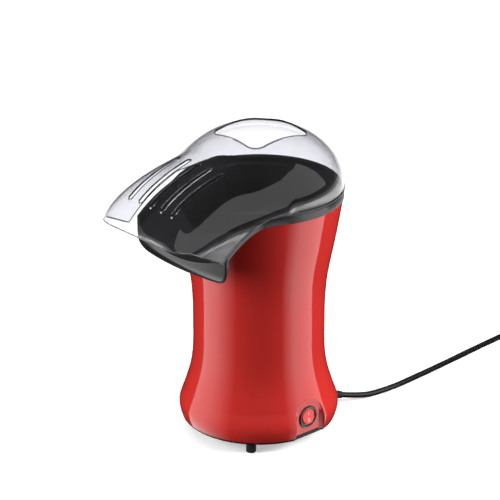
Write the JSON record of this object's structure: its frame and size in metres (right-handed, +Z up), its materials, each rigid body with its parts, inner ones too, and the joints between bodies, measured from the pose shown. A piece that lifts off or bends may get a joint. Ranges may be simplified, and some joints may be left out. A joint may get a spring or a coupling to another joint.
{
  "type": "hot-air popcorn maker",
  "caption": "Hourglass hot-air popcorn maker with a black bowl and spout, a clear slotted lift-off cover, a rocker switch and a mains lead.",
  "frame": {"origin": "on the table, under the axis of the body", "axes": "+Z up, spout along -Y, switch along +X, lead at the back towards +Y"},
  "size_m": [0.1684, 0.6594, 0.3148],
  "materials": {
    "red_gloss": "glossy moulded red plastic",
    "black_satin": "satin black plastic",
    "black_gloss": "glossy black plastic",
    "clear": "clear moulded plastic",
    "aluminium": "drawn aluminium",
    "heat_board": "moulded insulating ring",
    "duct_sheet": "plain sheet",
    "mica": "mica board",
    "heater_wire": "resistance wire",
    "steel": "plain steel",
    "fan_white": "moulded fan",
    "board_green": "circuit board",
    "rocker_red": "translucent red rocker",
    "foot_rubber": "rubber",
    "cord_black": "flexible black sheath",
    "pin_brass": "plated brass pins"
  },
  "bodies": {
    "stand": {"outer_housing": "red_gloss", "base_plate": "black_satin", "upper_chute": "black_gloss", "popping_chamber": "aluminium", "chamber_ring": "heat_board", "air_duct": "duct_sheet", "heater_former": "mica", "heater_wire": "heater_wire", "thermostat": "steel", "thermal_fuse": "heater_wire", "motor_can": "steel", "motor_end_bell": "black_satin", "motor_bracket": "steel", "bracket_screws": "steel", "rectifier_board": "board_green", "switch_body": "black_satin", "rocker_pin": "steel", "strain_relief": "cord_black", "cord_run": "cord_black", "cord_coil": "cord_black", "cord_tie": "cord_black", "plug_body": "cord_black", "plug_pins": "pin_brass", "foot_front_right": "foot_rubber", "foot_front_left": "foot_rubber", "foot_back_left": "foot_rubber", "foot_back_right": "foot_rubber"},
    "cover": {"clear_cover": "clear"},
    "rocker": {"switch_rocker": "rocker_red"},
    "rotor": {"motor_shaft": "steel", "fan_impeller": "fan_white"}
  },
  "joints": [
    {"name": "cover_lift", "type": "slide", "parent": "stand", "child": "cover", "axis": [0, 0, 1], "range_m": [0, 0.12]},
    {"name": "rocker_tip", "type": "hinge", "parent": "stand", "child": "rocker", "pos_m": [0.071, 0, 0.032], "axis": [0, 1, 0], "range_deg": [0, 16]},
    {"name": "fan_spin", "type": "hinge", "parent": "stand", "child": "rotor", "pos_m": [0, 0, 0.06], "axis": [0, 0, 1], "continuous": true}
  ]
}
